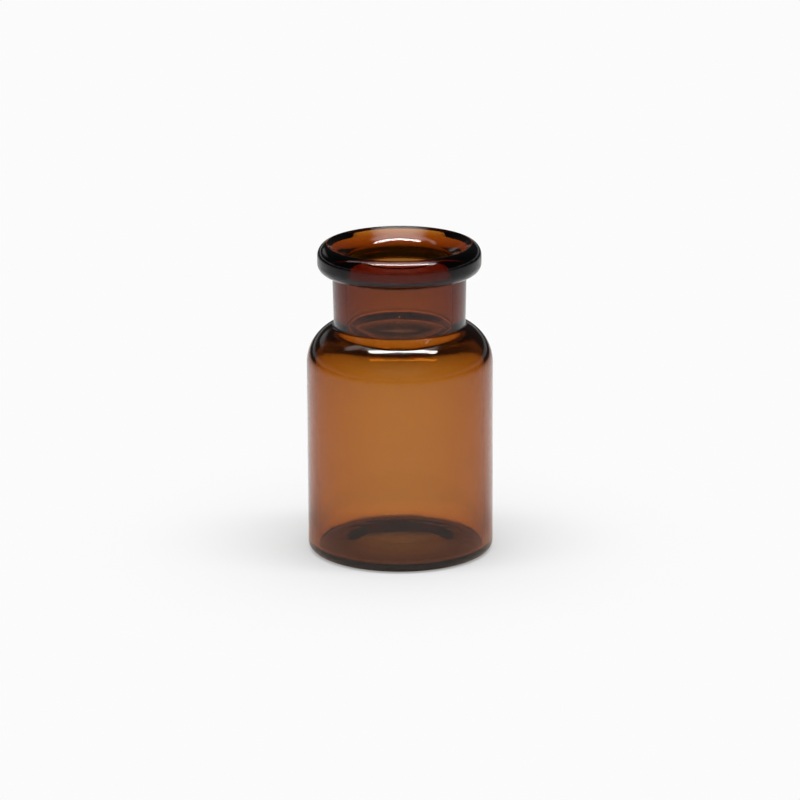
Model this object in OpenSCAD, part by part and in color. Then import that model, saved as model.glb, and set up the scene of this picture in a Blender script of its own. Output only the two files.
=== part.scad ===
// Amber glass sample vial with a flared crimp mouth, formed from tube as one piece of glass.
// The frame stands on the foot ring: +Z is the vial's axis, and z = 0 is the surface it rests on.
// The vial is one wall section turned about the axis, so each size below can be read off that section.

/* [Body] */
// Outside diameter of the body
body_d = 22.5; // [21.5:0.1:26]
// Height from the foot ring to the crest of the lip
height = 38; // [34.5:0.5:48]
// Height of the straight part of the body, from the foot ring to the start of the shoulder
body_h = 23.3; // [15:0.1:26]
// Thickness of the body wall
wall = 1.1; // [0.8:0.05:1.6]

/* [Base] */
// Outside radius of the heel, where the wall turns under
heel_r = 0.95; // [0.6:0.05:1.8]
// Width of the flat ring that the vial stands on
foot_w = 0.9; // [0.4:0.1:1.6]
// Rise of the underside at its centre, pushed up while the glass was soft
push_up = 0.56; // [0.54:0.01:0.7]
// Radius of the ball that the middle of the underside is a cap of
cap_r = 84; // [70:1:120]
// How far out from the axis that cap reaches
cap_w = 4.8; // [4.4:0.1:5.2]
// Radius of the round between the cap and the step outside it
step_r = 6.5; // [5:0.5:8]
// Steepest slope of the step, in degrees from level
step_slope = 11.3; // [9:0.1:12]
// Radius of the hollow round at the foot of the step
step_foot_r = 12; // [9:0.5:14]
// Height of the flat floor inside, above the surface the vial stands on
floor_z = 0.85; // [0.85:0.05:1.6]
// Inside radius of the corner between the wall and the floor
floor_r = 0.5; // [0.4:0.1:1.8]

/* [Shoulder] */
// Outside radius of the shoulder
shoulder_r = 5; // [4.2:0.1:6]
// Inside radius of the shoulder
shoulder_in_r = 3.4; // [2.6:0.1:4]
// Radius of the hollow corner where the shoulder meets the neck
neck_root_r = 0.4; // [0.2:0.05:0.8]

/* [Neck] */
// Outside diameter of the neck at its waist, just above the shoulder
neck_d = 15.9; // [15.3:0.1:16.6]
// How much wider the neck is under the flange than at its waist
neck_flare = 0.25; // [0:0.05:0.5]
// Diameter of the bore that takes the stopper
bore_d = 12.6; // [12:0.1:13]
// Radius of the bore's lower edge, where it opens into the body
bore_edge_r = 2.6; // [1.6:0.1:3]

/* [Crimp flange] */
// Outside diameter of the flange
flange_d = 19.74; // [18.9:0.02:20.2]
// Height of the flange, from its underside to the crest of the lip
flange_h = 3.5; // [3:0.1:4.2]
// Radius of the flange's lower outside edge
flange_edge_r = 1.2; // [0.2:0.1:1.3]
// Radius of the hollow corner where the neck meets the flange
flange_root_r = 0.3; // [0.15:0.05:0.6]
// Outside radius of the lip, from the flange's straight wall up to the crest
lip_r = 1.5; // [1.2:0.1:1.6]

/* [Mouth] */
// How far the crest of the lip lies in from the flange's straight wall
crest_in = 1.17; // [1:0.01:1.4]
// Radius of the crest
crest_r = 0.25; // [0.1:0.05:0.4]
// Slope of the funnel below the crest, in degrees from level
funnel_slope = 30; // [24:1:34]
// Distance from the axis at which the funnel's cone gives way to the curve down to the bore
cone_in = 7.16; // [7.1:0.02:7.5]
// Radius of that curve
funnel_r = 3; // [2.6:0.1:4]
// Radius of the edge between the curve and the bore
mouth_edge_r = 0.3; // [0.2:0.05:0.4]

/* [Hidden] */
$fn = 180;                               // flats to a full turn
glass_colour = [0.55, 0.27, 0.09, 0.8];  // brown, seen through

body_r = body_d / 2;
inner_r = body_r - wall;
bore_r = bore_d / 2;
neck_r = neck_d / 2;
neck_top_r = neck_r + neck_flare / 2;
flange_r = flange_d / 2;
flange_z = height - flange_h;

// A point on a circle of the section, and the point where the tangents at two angles meet
function on_circle(centre, r, angle) = centre + r * [cos(angle), sin(angle)];
function tip(centre, r, from, to) = on_circle(centre, r / cos((to - from) / 2), (from + to) / 2);

// The underside: the cap and the round at its edge touch, then the hollow round, then a cone down to the foot ring.
foot_inner_r = body_r - heel_r - foot_w;
foot_inner = [foot_inner_r, 0];
cap_centre = [0, push_up - cap_r];
cap_end = 90 - asin(cap_w / cap_r);
step_centre = on_circle(cap_centre, cap_r - step_r, cap_end);
step_end = 90 - step_slope;
step_foot_centre = on_circle(step_centre, step_r + step_foot_r, step_end);
to_foot = foot_inner - step_foot_centre;
cone_slope = atan2(-to_foot[1], to_foot[0]) - asin(step_foot_r / norm(to_foot));

// The hollow corner at the root of the neck touches the neck and the curve of the shoulder.
shoulder_centre = [body_r - shoulder_r, body_h];
root_x = neck_r + neck_root_r;
root_z = body_h + sqrt(pow(shoulder_r + neck_root_r, 2) - pow(root_x - shoulder_centre[0], 2));

// Inside, the curve of the shoulder and the lower edge of the bore touch each other.
shoulder_in_centre = [inner_r - shoulder_in_r, body_h];
bore_edge_x = bore_r + bore_edge_r;
bore_edge_z = body_h + sqrt(pow(shoulder_in_r + bore_edge_r, 2) - pow(bore_edge_x - shoulder_in_centre[0], 2));
bore_edge_centre = [bore_edge_x, bore_edge_z];
turn_in = atan2(bore_edge_z - body_h, bore_edge_x - shoulder_in_centre[0]);

// The outside of the lip runs into the small round of the crest, and both have one tangent there.
crest_centre = [flange_r - crest_in, height - crest_r];
lip_x = flange_r - lip_r;
lip_z = crest_centre[1] - sqrt(pow(lip_r - crest_r, 2) - pow(crest_centre[0] - lip_x, 2));
lip_centre = [lip_x, lip_z];
above_crest = crest_centre + (crest_centre - lip_centre);

// The funnel is a cone that touches the round of the crest, then a curve, then the small edge of the bore.
cone_normal = 90 + funnel_slope;
cone_top = on_circle(crest_centre, crest_r, cone_normal);
cone_foot = [cone_in, cone_top[1] - (cone_top[0] - cone_in) * tan(funnel_slope)];
funnel_centre = on_circle(cone_foot, -funnel_r, cone_normal);
mouth_edge_x = bore_r + mouth_edge_r;
mouth_edge_z = funnel_centre[1] + sqrt(pow(funnel_r - mouth_edge_r, 2) - pow(mouth_edge_x - funnel_centre[0], 2));
mouth_edge_centre = [mouth_edge_x, mouth_edge_z];
funnel_end = atan2(mouth_edge_z - funnel_centre[1], mouth_edge_x - funnel_centre[0]);

// A band of the section between two radii and two heights
module band(r_from, r_to, z_from, z_to) {
    translate([r_from, z_from]) square([r_to - r_from, z_to - z_from]);
}

// A whole disc of the section
module disc(centre, r) {
    translate(centre) circle(r);
}

// The square of side r that has one corner at the centre. Outwards and up are 1, inwards and down are -1.
module corner_square(centre, r, out, up) {
    translate([centre[0] + r * min(out, 0), centre[1] + r * min(up, 0)]) square(r);
}

// A rounded edge: the quarter of a disc on one side of its centre
module rounded(centre, r, out, up) {
    intersection() {
        disc(centre, r);
        corner_square(centre, r, out, up);
    }
}

// A hollow corner: what a quarter of a disc leaves of its square
module hollow(centre, r, out, up) {
    difference() {
        corner_square(centre, r, out, up);
        disc(centre, r);
    }
}

// The kite between a disc's centre and its tangents at two angles
module kite(centre, r, from, to) {
    polygon([centre, on_circle(centre, r, from), tip(centre, r, from, to), on_circle(centre, r, to)]);
}

// What a disc leaves of that kite
module shaving(centre, r, from, to) {
    difference() {
        kite(centre, r, from, to);
        disc(centre, r);
    }
}

// Body, heel and shoulder, filled to the axis
module body_outline() {
    band(0, body_r - heel_r, 0, heel_r);
    rounded([body_r - heel_r, heel_r], heel_r, 1, -1);
    band(0, body_r, heel_r, body_h);
    rounded(shoulder_centre, shoulder_r, 1, 1);
    band(0, shoulder_centre[0], body_h, body_h + shoulder_r);
}

// Neck with its two hollow corners, filled to the axis
module neck_outline() {
    polygon([[0, body_h], [neck_r, body_h], [neck_r, root_z],
             [neck_top_r, flange_z - flange_root_r], [neck_top_r, flange_z], [0, flange_z]]);
    difference() {
        polygon([shoulder_centre, [root_x, root_z], [neck_r, root_z]]);
        disc([root_x, root_z], neck_root_r);
    }
    hollow([neck_top_r + flange_root_r, flange_z - flange_root_r], flange_root_r, -1, 1);
}

// Flange and lip, filled to the axis
module flange_outline() {
    band(0, flange_r - flange_edge_r, flange_z, flange_z + flange_edge_r);
    rounded([flange_r - flange_edge_r, flange_z + flange_edge_r], flange_edge_r, 1, -1);
    difference() {
        band(0, flange_r, flange_z + flange_edge_r, height);
        hollow(lip_centre, lip_r, 1, 1);
    }
}

// The hollow under the base
module under_space() {
    difference() {
        polygon([[0, 0], foot_inner, on_circle(step_foot_centre, step_foot_r, -90 - cone_slope), step_foot_centre,
                 on_circle(step_centre, step_r, step_end), tip(step_centre, step_r, step_end, cap_end),
                 on_circle(cap_centre, cap_r, cap_end), tip(cap_centre, cap_r, cap_end, 90), [0, push_up]]);
        disc(step_foot_centre, step_foot_r);
        shaving(step_centre, step_r, step_end, cap_end);
        shaving(cap_centre, cap_r, cap_end, 90);
    }
}

// The space inside the body, from the floor to the foot of the straight bore
module body_space() {
    difference() {
        polygon([[0, floor_z], [inner_r, floor_z], tip(shoulder_in_centre, shoulder_in_r, 0, turn_in),
                 on_circle(shoulder_in_centre, shoulder_in_r, turn_in), bore_edge_centre,
                 [bore_r, bore_edge_z], [0, bore_edge_z]]);
        hollow([inner_r - floor_r, floor_z + floor_r], floor_r, 1, -1);
        shaving(shoulder_in_centre, shoulder_in_r, 0, turn_in);
        disc(bore_edge_centre, bore_edge_r);
    }
}

// The straight bore, whose foot lies inside the body space, and the funnel up to the crest
module mouth_space() {
    difference() {
        polygon([[0, body_h], [bore_r, body_h], [bore_r, mouth_edge_z], mouth_edge_centre, funnel_centre,
                 cone_foot, cone_top, crest_centre, above_crest, [0, above_crest[1]]]);
        disc(mouth_edge_centre, mouth_edge_r);
        intersection() {
            disc(funnel_centre, funnel_r);
            kite(funnel_centre, funnel_r, cone_normal, funnel_end);
        }
        disc(crest_centre, crest_r);
    }
}

module wall_section() {
    difference() {
        union() {
            body_outline();
            neck_outline();
            flange_outline();
        }
        under_space();
        body_space();
        mouth_space();
    }
}

module vial() {
    color(glass_colour)
        rotate_extrude()
            wall_section();
}

vial();
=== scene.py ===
"""Amber glass sample vial on a pale studio floor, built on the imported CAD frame."""
import math
import bpy
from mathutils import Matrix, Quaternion, Vector


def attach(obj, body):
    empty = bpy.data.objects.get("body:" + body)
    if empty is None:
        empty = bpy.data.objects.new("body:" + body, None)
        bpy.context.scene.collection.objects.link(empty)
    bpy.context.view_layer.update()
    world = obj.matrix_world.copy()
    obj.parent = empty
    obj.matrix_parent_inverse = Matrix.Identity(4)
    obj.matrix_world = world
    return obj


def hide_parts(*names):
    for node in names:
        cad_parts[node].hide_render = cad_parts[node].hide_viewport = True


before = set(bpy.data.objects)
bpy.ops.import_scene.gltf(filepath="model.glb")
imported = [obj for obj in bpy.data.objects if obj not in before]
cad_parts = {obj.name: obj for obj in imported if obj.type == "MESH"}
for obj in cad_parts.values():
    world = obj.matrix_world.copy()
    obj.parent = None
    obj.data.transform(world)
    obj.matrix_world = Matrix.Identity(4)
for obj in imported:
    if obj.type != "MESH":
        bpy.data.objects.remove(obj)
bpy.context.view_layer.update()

MM = 0.001

# The sizes that part.scad gives the vial, in millimetres and degrees
BODY_R = 11.25          # outside of the body
HEIGHT = 38.0           # foot ring to the crest of the lip
BODY_H = 23.3           # foot ring to the start of the shoulder
WALL = 1.1              # body wall
HEEL_R = 0.95           # outside round where the wall turns under
FOOT_W = 0.9            # width of the foot ring
PUSH_UP = 0.56          # rise of the underside at its centre
CAP_R = 84.0            # ball that the middle of the underside is a cap of
CAP_W = 4.8             # how far out from the axis that cap reaches
STEP_R = 6.5            # round between the cap and the step outside it
STEP_SLOPE = 11.3       # steepest slope of the step
STEP_FOOT_R = 12.0      # hollow round at the foot of the step
FLOOR_Z = 0.85          # height of the flat floor inside
FLOOR_R = 0.5           # inside corner between the wall and that floor
SHOULDER_R = 5.0        # shoulder, outside
SHOULDER_IN_R = 3.4     # shoulder, inside
NECK_ROOT_R = 0.4       # hollow corner where the shoulder meets the neck
NECK_R = 7.95           # waist of the neck
NECK_FLARE = 0.25       # how much wider the neck is under the flange, across
BORE_R = 6.3            # bore that takes the stopper
BORE_EDGE_R = 2.6       # lower edge of the bore
FLANGE_R = 9.87         # outside of the flange
FLANGE_H = 3.5          # underside of the flange to the crest
FLANGE_EDGE_R = 1.2     # lower outside edge of the flange
FLANGE_ROOT_R = 0.3     # hollow corner where the neck meets the flange
LIP_R = 1.5             # lip, from the flange's straight wall up to the crest
CREST_IN = 1.17         # how far the crest lies in from that wall
CREST_R = 0.25          # crest
FUNNEL_SLOPE = 30.0     # slope of the funnel's cone
CONE_IN = 7.16          # distance from the axis at which the cone gives way to a curve
FUNNEL_R = 3.0          # that curve
MOUTH_EDGE_R = 0.3      # edge between the curve and the bore

# How finely the section is drawn: facets round the axis, degrees along a curve, rows along the rest
TURN_STEPS = 240
ARC_STEP = 5.0
WALL_ROWS, NECK_ROWS, FLANGE_ROWS, FUNNEL_ROWS = 24, 8, 3, 5
BORE_ROWS, FLOOR_ROWS, FOOT_ROWS = 10, 12, 4
CAP_ROWS, ROUND_ROWS = 12, 8    # the least on a shallow curve

# The glass: its colour comes from the depth that light goes through
GLASS_IOR = 1.5
GLASS_TINT, GLASS_DENSITY = (0.798, 0.548, 0.017, 1), 2000
LINE_SIZE, LINE_STRETCH, LINE_DEPTH = 1.2 * MM, 16, 0.01 * MM     # lines drawn out along the axis
WAVE_SIZE, WAVE_DEPTH = 5 * MM, 0.03 * MM                         # slow waves
SEED_SPACING, SEED_DEPTH = 2.2 * MM, 0.01 * MM                    # cells, and the height of a seed
SEED_SIZE, SEED_SHARE = 0.06, 0.1                                 # of a cell, and of the cells with one
HAZE_SIZE, HAZE_DETAIL, HAZE_ROUGHNESS = 6 * MM, 4.0, 0.02        # clouds, and how rough they get
HAZE_NOISE = (0.52, 0.75)                                         # the noise over which they do

# The paper floor: tone, half its width in metres, and how far it lies below the foot ring
PAPER, PAPER_HALF, PAPER_DROP = 0.42, 3.0, 0.01 * MM
CAMERA_DIM = 0.08       # share taken off that tone for the camera
# The camera sees a share of plain white in it, from the least near the vial to all farther off.
WHITE = 0.965
BLEND, BLEND_LEAST = (12 * MM, 45 * MM), 0.3

# Painted light and shade on the table as the glass sees it: a painted shadow near the foot in front, and a
# painted pool of light that fades farther off. Distances are from the axis. Back is 1 behind the vial and -1
# before it.
FOOT_LIGHT, FRONT_LIGHT = 0.58, 0.72
FOOT_SHADE = (19 * MM, 42 * MM)     # where the painted light in front rises from the one to the other, out of the painted shade near the foot
TURN_WHITE = (0.2, 0.9)             # back, where it rises to white
POOL, POOL_FAR = (60 * MM, 270 * MM), 0.05      # where the painted pool of light fades, and the share of it beyond
# Painted light round the base, for the light that the vial gathers there, by millimetres from the axis
GLOW_COLOUR = (1.0, 0.62, 0.4, 1.0)
GLOW = ((0, 0.16), (4.5, 0.17), (7.0, 0.13), (10.0, 0.13), (12.0, 0.3), (20.0, 0.0))

# The room: what lights the floor, and what the glass reflects
FILL = 1.6
STUDIO = 0.03
HORIZON, HORIZON_FADE = 0.3, (0.05, 0.13)   # light at the horizon, and the heights over which it fades
LEAST_HEIGHT = 0.05     # keeps the plane overhead finite
SPOT_EDGE = 0.1         # share of an oval's squared reach that has its full light
# Soft ovals on a plane one unit overhead: centre and reach across and back, then strength
SOFT_LIGHTS = (((0.0, 0.12), (0.6, 0.42), 3.5),
               ((-0.68, 0.3), (0.35, 0.16), 1.5),
               ((-1.9, 3.1), (1.0, 1.6), 0.4),
               ((0.0, -3.4), (2.6, 2.9), 0.25))

# The overhead light: centre and size in metres, and radiance
STRIP_PLACE, STRIP_SIZE, STRIP_RADIANCE = (0.033, -0.045, 0.5), (0.51, 0.085), 20

# The camera: millimetres and degrees
CAMERA_AWAY, CAMERA_RISE, CAMERA_ROLL = 550.0, 16.0, -0.27
CAMERA_BASE, CAMERA_AIM = HEIGHT / 2, 18.446    # heights that it rises from and looks at
LENS, SENSOR = 204.48, 36
CLIP = (0.01, 20)       # metres
BOUNCES = 32


def arc(cx, cz, radius, start, end, least=2):
    """Points (radius, height) along part of a circle of the section, both ends included."""
    steps = max(least, math.ceil(abs(end - start) / ARC_STEP))
    angles = [math.radians(start + (end - start) * i / steps) for i in range(steps + 1)]
    return [(cx + radius * math.cos(a), cz + radius * math.sin(a)) for a in angles]


def line(start, end, steps):
    """Points between two ends, both left out."""
    return [(start[0] + (end[0] - start[0]) * i / steps,
             start[1] + (end[1] - start[1]) * i / steps) for i in range(1, steps)]


def touching(reach, across):
    """Rise from one circle's centre to that of a circle that touches it, and the angle of that line."""
    rise = math.sqrt(reach ** 2 - across ** 2)
    return rise, math.degrees(math.atan2(rise, across))


def underside(foot_in):
    """The underside from the axis out to the foot ring: a cap, a round into the step, and a hollow round."""
    cap_turn = math.asin(CAP_W / CAP_R)
    step_turn = math.radians(STEP_SLOPE)
    cap_z = PUSH_UP - CAP_R
    inward = CAP_R - STEP_R
    step_x, step_z = inward * math.sin(cap_turn), cap_z + inward * math.cos(cap_turn)
    reach = STEP_R + STEP_FOOT_R
    hollow_x, hollow_z = step_x + reach * math.sin(step_turn), step_z + reach * math.cos(step_turn)
    far = math.hypot(foot_in - hollow_x, hollow_z)
    foot_turn = math.atan2(hollow_z, foot_in - hollow_x) - math.asin(STEP_FOOT_R / far)
    cap_end, step_end, foot_end = (math.degrees(turn) for turn in (cap_turn, step_turn, foot_turn))
    points = arc(0, cap_z, CAP_R, 90, 90 - cap_end, CAP_ROWS)
    points += arc(step_x, step_z, STEP_R, 90 - cap_end, 90 - step_end, ROUND_ROWS)[1:]
    points += arc(hollow_x, hollow_z, STEP_FOOT_R, -90 - step_end, -90 - foot_end, ROUND_ROWS)[1:]
    points += line(points[-1], (foot_in, 0), FOOT_ROWS) + [(foot_in, 0)]
    return points


def outside(foot_in):
    """From the foot ring up the body and over the shoulder to the root of the neck."""
    heel_x = BODY_R - HEEL_R
    shoulder_x = BODY_R - SHOULDER_R
    root_x = NECK_R + NECK_ROOT_R
    root_rise, root_angle = touching(SHOULDER_R + NECK_ROOT_R, root_x - shoulder_x)
    points = line((foot_in, 0), (heel_x, 0), FOOT_ROWS)
    points += arc(heel_x, HEEL_R, HEEL_R, -90, 0)
    points += line((BODY_R, HEEL_R), (BODY_R, BODY_H), WALL_ROWS)
    points += arc(shoulder_x, BODY_H, SHOULDER_R, 0, root_angle)
    points += arc(root_x, BODY_H + root_rise, NECK_ROOT_R, root_angle - 180, -180)[1:]
    return points


def flange(neck_root):
    """From the root of the neck up the neck, round the flange and the lip, and over the crest."""
    neck_top = NECK_R + NECK_FLARE / 2
    flange_z = HEIGHT - FLANGE_H
    lip_x = FLANGE_R - LIP_R
    crest_x, crest_z = FLANGE_R - CREST_IN, HEIGHT - CREST_R
    lip_rise, lip_angle = touching(LIP_R - CREST_R, crest_x - lip_x)
    lip_z = crest_z - lip_rise
    points = line(neck_root, (neck_top, flange_z - FLANGE_ROOT_R), NECK_ROWS)
    points += arc(neck_top + FLANGE_ROOT_R, flange_z - FLANGE_ROOT_R, FLANGE_ROOT_R, 180, 90)
    points += arc(FLANGE_R - FLANGE_EDGE_R, flange_z + FLANGE_EDGE_R, FLANGE_EDGE_R, -90, 0)
    points += line((FLANGE_R, flange_z + FLANGE_EDGE_R), (FLANGE_R, lip_z), FLANGE_ROWS)
    points += arc(lip_x, lip_z, LIP_R, 0, lip_angle)
    points += arc(crest_x, crest_z, CREST_R, lip_angle, 90 + FUNNEL_SLOPE)[1:]
    return points


def mouth(cone_top):
    """From the crest down the funnel, a cone and then a curve, to the top of the bore."""
    slope = math.radians(FUNNEL_SLOPE)
    cone_foot = (CONE_IN, cone_top[1] - (cone_top[0] - CONE_IN) * math.tan(slope))
    funnel_x = CONE_IN + FUNNEL_R * math.sin(slope)
    funnel_z = cone_foot[1] - FUNNEL_R * math.cos(slope)
    edge_x = BORE_R + MOUTH_EDGE_R
    edge_rise, funnel_end = touching(FUNNEL_R - MOUTH_EDGE_R, edge_x - funnel_x)
    points = line(cone_top, cone_foot, FUNNEL_ROWS)
    points += arc(funnel_x, funnel_z, FUNNEL_R, 90 + FUNNEL_SLOPE, funnel_end, ROUND_ROWS)
    points += arc(edge_x, funnel_z + edge_rise, MOUTH_EDGE_R, funnel_end, 180)[1:]
    return points


def inside(bore_top):
    """From the top of the bore down the wall of the body to the middle of the floor."""
    inner_r = BODY_R - WALL
    shoulder_x, edge_x = inner_r - SHOULDER_IN_R, BORE_R + BORE_EDGE_R
    edge_rise, shoulder_angle = touching(SHOULDER_IN_R + BORE_EDGE_R, edge_x - shoulder_x)
    edge_z = BODY_H + edge_rise
    corner_x, corner_z = inner_r - FLOOR_R, FLOOR_Z + FLOOR_R
    points = line(bore_top, (BORE_R, edge_z), BORE_ROWS)
    points += arc(edge_x, edge_z, BORE_EDGE_R, 180, 180 + shoulder_angle)
    points += arc(shoulder_x, BODY_H, SHOULDER_IN_R, shoulder_angle, 0)[1:]
    points += line((inner_r, BODY_H), (inner_r, corner_z), WALL_ROWS)
    points += arc(corner_x, corner_z, FLOOR_R, 0, -90)
    points += line((corner_x, FLOOR_Z), (0, FLOOR_Z), FLOOR_ROWS) + [(0, FLOOR_Z)]
    return points


def section():
    """The wall section from the middle of the underside, round the outside and back down inside."""
    foot_in = BODY_R - HEEL_R - FOOT_W
    points = underside(foot_in) + outside(foot_in)
    for stretch in (flange, mouth, inside):
        points += stretch(points[-1])
    return points


def add(name, data):
    """A new object in the scene."""
    obj = bpy.data.objects.new(name, data)
    bpy.context.scene.collection.objects.link(obj)
    return obj


def turned(name, points):
    """A closed, smooth piece made by turning a section, whose two ends lie on the axis, about +Z."""
    angles = [2 * math.pi * i / TURN_STEPS for i in range(TURN_STEPS)]
    rings = [(r * MM, z * MM) for r, z in points[1:-1]]
    verts = [(r * math.cos(a), r * math.sin(a), z) for r, z in rings for a in angles]
    first, last = len(verts), len(verts) + 1
    top = len(verts) - TURN_STEPS
    verts += [(0, 0, z * MM) for z in (points[0][1], points[-1][1])]
    sides = [(i, (i + 1) % TURN_STEPS) for i in range(TURN_STEPS)]
    faces = []
    for row in range(0, top, TURN_STEPS):
        above = row + TURN_STEPS
        faces += [(row + i, row + k, above + k, above + i) for i, k in sides]
    for i, k in sides:
        faces += [(first, k, i), (last, top + i, top + k)]
    mesh = bpy.data.meshes.new(name)
    mesh.from_pydata(verts, [], faces)
    mesh.polygons.foreach_set("use_smooth", [True] * len(mesh.polygons))
    mesh.update()
    return add(name, mesh)


def new_material(name):
    """A material made of nodes, and its tree."""
    mat = bpy.data.materials.new(name)
    mat.use_nodes = True
    return mat, mat.node_tree


def feed(tree, socket, value):
    """Set a socket to a plain number, or link a node's output to it."""
    if isinstance(value, (int, float)):
        socket.default_value = value
    else:
        tree.links.new(value, socket)


def math_node(tree, operation, *values):
    """A maths node fed by sockets or plain numbers."""
    node = tree.nodes.new("ShaderNodeMath")
    node.operation = operation
    for socket, value in zip(node.inputs, values):
        feed(tree, socket, value)
    return node.outputs[0]


def scale(tree, value, low, high, at_low, at_high, smooth=True):
    """A change of a value between two limits, held outside them."""
    node = tree.nodes.new("ShaderNodeMapRange")
    node.interpolation_type = "SMOOTHSTEP" if smooth else "LINEAR"
    names = ("Value", "From Min", "From Max", "To Min", "To Max")
    for name, number in zip(names, (value, low, high, at_low, at_high)):
        feed(tree, node.inputs[name], number)
    return node.outputs["Result"]


def coordinates(tree, kind):
    """The X, Y and Z of a point, in the named coordinates."""
    split = tree.nodes.new("ShaderNodeSeparateXYZ")
    tree.links.new(tree.nodes.new("ShaderNodeTexCoord").outputs[kind], split.inputs[0])
    return split.outputs["X"], split.outputs["Y"], split.outputs["Z"]


def ray_is(tree, *kinds):
    """1 for a ray of any of the named kinds, 0 for the rest."""
    path = tree.nodes.new("ShaderNodeLightPath")
    total = path.outputs[kinds[0]]
    for kind in kinds[1:]:
        total = math_node(tree, "MAXIMUM", total, path.outputs[kind])
    return total


def emission(tree, strength, kind="ShaderNodeEmission"):
    """White light of an even or a varying strength."""
    node = tree.nodes.new(kind)
    node.inputs["Color"].default_value = (1, 1, 1, 1)
    feed(tree, node.inputs["Strength"], strength)
    return node.outputs[0]


def mix(tree, share, first, second):
    """The first shader, with a share of the second in its place."""
    node = tree.nodes.new("ShaderNodeMixShader")
    for socket, value in zip(node.inputs, (share, first, second)):
        tree.links.new(value, socket)
    return node.outputs[0]


def noise(tree, place, size, stretch=1.0, detail=2.0):
    """Noise whose features are about size metres across, drawn out along the axis."""
    mapping = tree.nodes.new("ShaderNodeMapping")
    tree.links.new(place, mapping.inputs["Vector"])
    mapping.inputs["Scale"].default_value = (1, 1, 1 / stretch)
    node = tree.nodes.new("ShaderNodeTexNoise")
    tree.links.new(mapping.outputs[0], node.inputs["Vector"])
    node.inputs["Scale"].default_value = 1 / size
    node.inputs["Detail"].default_value = detail
    return node.outputs["Fac"]


def seeds(tree, place):
    """1 in the middle of a few small round seeds, 0 elsewhere."""
    cells = tree.nodes.new("ShaderNodeTexVoronoi")
    tree.links.new(place, cells.inputs["Vector"])
    cells.inputs["Scale"].default_value = 1 / SEED_SPACING
    dot = scale(tree, cells.outputs["Distance"], 0.0, SEED_SIZE, 1.0, 0.0)
    pick = tree.nodes.new("ShaderNodeSeparateColor")
    tree.links.new(cells.outputs["Color"], pick.inputs[0])
    chosen = math_node(tree, "GREATER_THAN", pick.outputs["Red"], 1 - SEED_SHARE)
    return math_node(tree, "MULTIPLY", dot, chosen)


def relief(tree, place):
    """Height, in metres, of the drawn lines, the waves and the seeds."""
    height = math_node(tree, "MULTIPLY", noise(tree, place, LINE_SIZE, LINE_STRETCH), LINE_DEPTH)
    height = math_node(tree, "MULTIPLY_ADD", noise(tree, place, WAVE_SIZE), WAVE_DEPTH, height)
    return math_node(tree, "MULTIPLY_ADD", seeds(tree, place), SEED_DEPTH, height)


def glass():
    """Clear amber glass, coloured in its depth, with the relief and faint haze of worked tube."""
    mat, tree = new_material("amber_glass")
    bsdf = tree.nodes["Principled BSDF"]
    bsdf.inputs["Base Color"].default_value = (1, 1, 1, 1)
    bsdf.inputs["IOR"].default_value = GLASS_IOR
    bsdf.inputs["Transmission Weight"].default_value = 1.0
    place = tree.nodes.new("ShaderNodeTexCoord").outputs["Object"]
    bump = tree.nodes.new("ShaderNodeBump")
    bump.inputs["Distance"].default_value = 1.0
    tree.links.new(relief(tree, place), bump.inputs["Height"])
    tree.links.new(bump.outputs[0], bsdf.inputs["Normal"])
    cloud = noise(tree, place, HAZE_SIZE, detail=HAZE_DETAIL)
    tree.links.new(scale(tree, cloud, *HAZE_NOISE, 0.0, HAZE_ROUGHNESS), bsdf.inputs["Roughness"])
    depth = tree.nodes.new("ShaderNodeVolumeAbsorption")
    depth.inputs["Color"].default_value = GLASS_TINT
    depth.inputs["Density"].default_value = GLASS_DENSITY
    tree.links.new(depth.outputs[0], tree.nodes["Material Output"].inputs["Volume"])
    return mat


def away_and_back(tree):
    """Distance from the vial's axis, and how far towards the back: 1 behind the vial, -1 before it."""
    x, y, _ = coordinates(tree, "Object")
    squares = [math_node(tree, "POWER", value, 2.0) for value in (x, y)]
    away = math_node(tree, "SQRT", math_node(tree, "ADD", *squares))
    return away, math_node(tree, "DIVIDE", y, math_node(tree, "MAXIMUM", away, MM))


def table_light(tree, away, back):
    """Painted light and shade of the table in the glass: white behind the vial, dimmer in front and farther
    away.
    """
    front = scale(tree, away, *FOOT_SHADE, FOOT_LIGHT, FRONT_LIGHT)
    behind = scale(tree, back, *TURN_WHITE, 0.0, 1.0)
    rest = math_node(tree, "SUBTRACT", 1.0, front)
    turn = math_node(tree, "MULTIPLY_ADD", behind, rest, front)
    return math_node(tree, "MULTIPLY", turn, scale(tree, away, *POOL, 1.0, POOL_FAR, smooth=False))


def glow(tree, away):
    """Painted light on the table round its base, for the light that the vial gathers there."""
    ramp = tree.nodes.new("ShaderNodeValToRGB")
    reach = GLOW[-1][0]
    tree.links.new(math_node(tree, "DIVIDE", away, reach * MM), ramp.inputs["Fac"])
    stops = ramp.color_ramp.elements
    while len(stops) < len(GLOW):
        stops.new(0.5)
    for stop, (radius, strength) in zip(stops, GLOW):
        stop.position = radius / reach
        stop.color = (strength, strength, strength, 1)
    return ramp.outputs["Color"]


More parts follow.
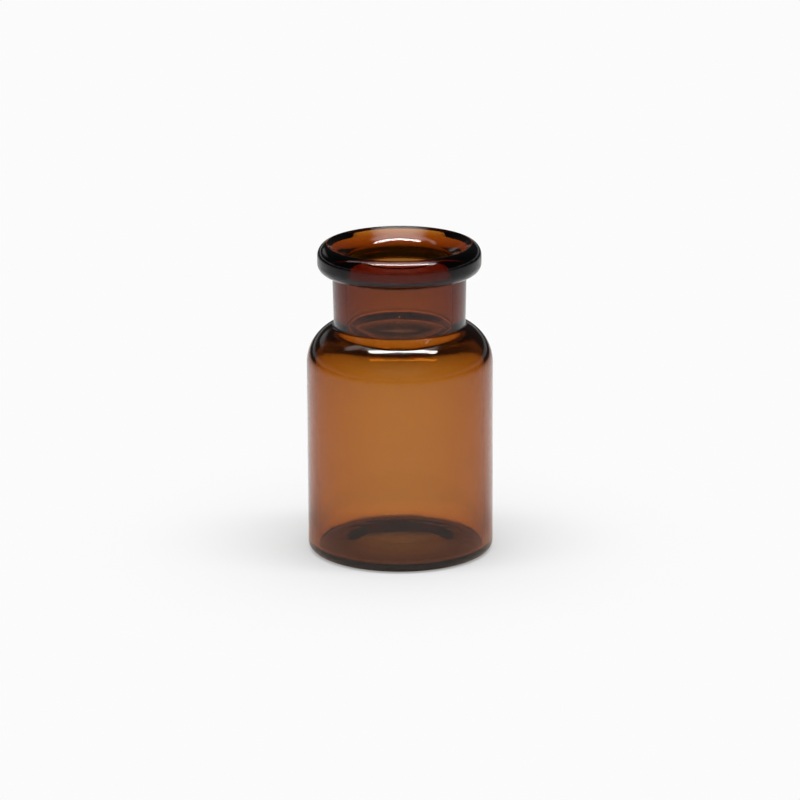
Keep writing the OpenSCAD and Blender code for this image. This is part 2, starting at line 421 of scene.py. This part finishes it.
def floor_material():
    """White paper. Seen in or through the glass, its colour carries painted light and shade, as bright as
    the table was there, and it glows with painted light round the base.
    """
    mat, tree = new_material("floor_paper")
    paper = tree.nodes["Principled BSDF"]
    paper.inputs["Roughness"].default_value = 1.0
    paper.inputs["Specular IOR Level"].default_value = 0.0
    # Colour of the painted glow round the base
    paper.inputs["Emission Color"].default_value = GLOW_COLOUR
    away, back = away_and_back(tree)
    in_glass = ray_is(tree, "Is Glossy Ray", "Is Transmission Ray")
    in_camera = ray_is(tree, "Is Camera Ray")
    # For glossy and transmission rays the paper's colour carries painted shade: darker in front, near the
    # foot and farther off.
    painted_shade = math_node(tree, "SUBTRACT", 1.0, table_light(tree, away, back))
    less = math_node(tree, "MULTIPLY", in_glass, painted_shade)
    less = math_node(tree, "MULTIPLY_ADD", in_camera, CAMERA_DIM, less)
    paper_tone_and_painted_shade = math_node(tree, "MULTIPLY", PAPER, math_node(tree, "SUBTRACT", 1.0, less))
    tree.links.new(paper_tone_and_painted_shade, paper.inputs["Base Color"])
    # The paper glows with painted light round the base, seen only in or through the glass.
    painted_glow = math_node(tree, "MULTIPLY", in_glass, glow(tree, away))
    tree.links.new(painted_glow, paper.inputs["Emission Strength"])
    share = math_node(tree, "MULTIPLY", in_camera, scale(tree, away, *BLEND, BLEND_LEAST, 1.0))
    last = mix(tree, share, paper.outputs[0], emission(tree, WHITE))
    tree.links.new(last, tree.nodes["Material Output"].inputs["Surface"])
    return mat


def add_floor():
    """A sheet of paper a hair below the foot ring, so that their flat faces don't coincide."""
    half = PAPER_HALF
    mesh = bpy.data.meshes.new("floor")
    corners = [(-half, -half, 0), (half, -half, 0), (half, half, 0), (-half, half, 0)]
    mesh.from_pydata(corners, [], [(0, 1, 2, 3)])
    mesh.materials.append(floor_material())
    sheet = add("floor", mesh)
    sheet.location.z = -PAPER_DROP
    return sheet


def soft_spot(tree, across, back, centre, reach, strength):
    """A soft-edged oval of light on the plane one unit overhead."""
    parts = []
    for value, middle, half in zip((across, back), centre, reach):
        offset = math_node(tree, "ABSOLUTE", math_node(tree, "SUBTRACT", value, middle))
        parts.append(math_node(tree, "POWER", math_node(tree, "DIVIDE", offset, half), 2.0))
    return scale(tree, math_node(tree, "ADD", *parts), SPOT_EDGE, 1.0, strength, 0.0)


def studio_light(tree):
    """What the glass reflects of the room: dim, with soft ovals of light."""
    x, y, z = coordinates(tree, "Generated")
    height = math_node(tree, "MAXIMUM", z, LEAST_HEIGHT)
    across, back = (math_node(tree, "DIVIDE", value, height) for value in (x, y))
    light = scale(tree, z, *HORIZON_FADE, HORIZON, STUDIO)
    for centre, reach, strength in SOFT_LIGHTS:
        light = math_node(tree, "ADD", light, soft_spot(tree, across, back, centre, reach, strength))
    return light


def studio_world():
    """The room. Transmission comes after glossy, because a ray through clear glass counts as both."""
    world = bpy.data.worlds.new("studio")
    bpy.context.scene.world = world
    world.use_nodes = True
    tree = world.node_tree
    fill = tree.nodes["Background"]
    fill.inputs["Color"].default_value = (1, 1, 1, 1)
    fill.inputs["Strength"].default_value = FILL
    last = fill.outputs[0]
    for strength, kind in ((studio_light(tree), "Is Glossy Ray"), (STUDIO, "Is Transmission Ray"),
                           (WHITE, "Is Camera Ray")):
        last = mix(tree, ray_is(tree, kind), last, emission(tree, strength, "ShaderNodeBackground"))
    tree.links.new(last, tree.nodes["World Output"].inputs["Surface"])


def add_camera():
    """The camera that was fitted to the photograph, rolled so that the vial leans as it does there."""
    rise = math.radians(CAMERA_RISE)
    eye = Vector((0.0, -CAMERA_AWAY * math.cos(rise), CAMERA_BASE + CAMERA_AWAY * math.sin(rise))) * MM
    target = Vector((0.0, 0.0, CAMERA_AIM)) * MM
    data = bpy.data.cameras.new("camera")
    data.lens, data.sensor_width = LENS, SENSOR
    data.clip_start, data.clip_end = CLIP
    camera = add("camera", data)
    camera.location = eye
    roll = Quaternion((0, 0, 1), math.radians(CAMERA_ROLL))
    camera.rotation_euler = ((target - eye).to_track_quat("-Z", "Y") @ roll).to_euler()
    bpy.context.scene.camera = camera


def add_strip():
    """The soft oblong light overhead, which faces straight down and isn't seen by the camera."""
    across, along = STRIP_SIZE
    light = bpy.data.lights.new("strip", "AREA")
    light.shape = "RECTANGLE"
    light.size, light.size_y = across, along
    light.energy = STRIP_RADIANCE * math.pi * across * along
    strip = add("strip", light)
    strip.location = STRIP_PLACE
    strip.visible_camera = False


vial = turned("vial_glass", section())
vial.data.materials.append(glass())
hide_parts("vial")
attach(vial, "root")

add_camera()
floor = add_floor()
studio_world()
add_strip()

scene = bpy.context.scene
scene.view_settings.view_transform = "Standard"
scene.cycles.max_bounces = BOUNCES
scene.cycles.transmission_bounces = BOUNCES
scene.cycles.transparent_max_bounces = BOUNCES
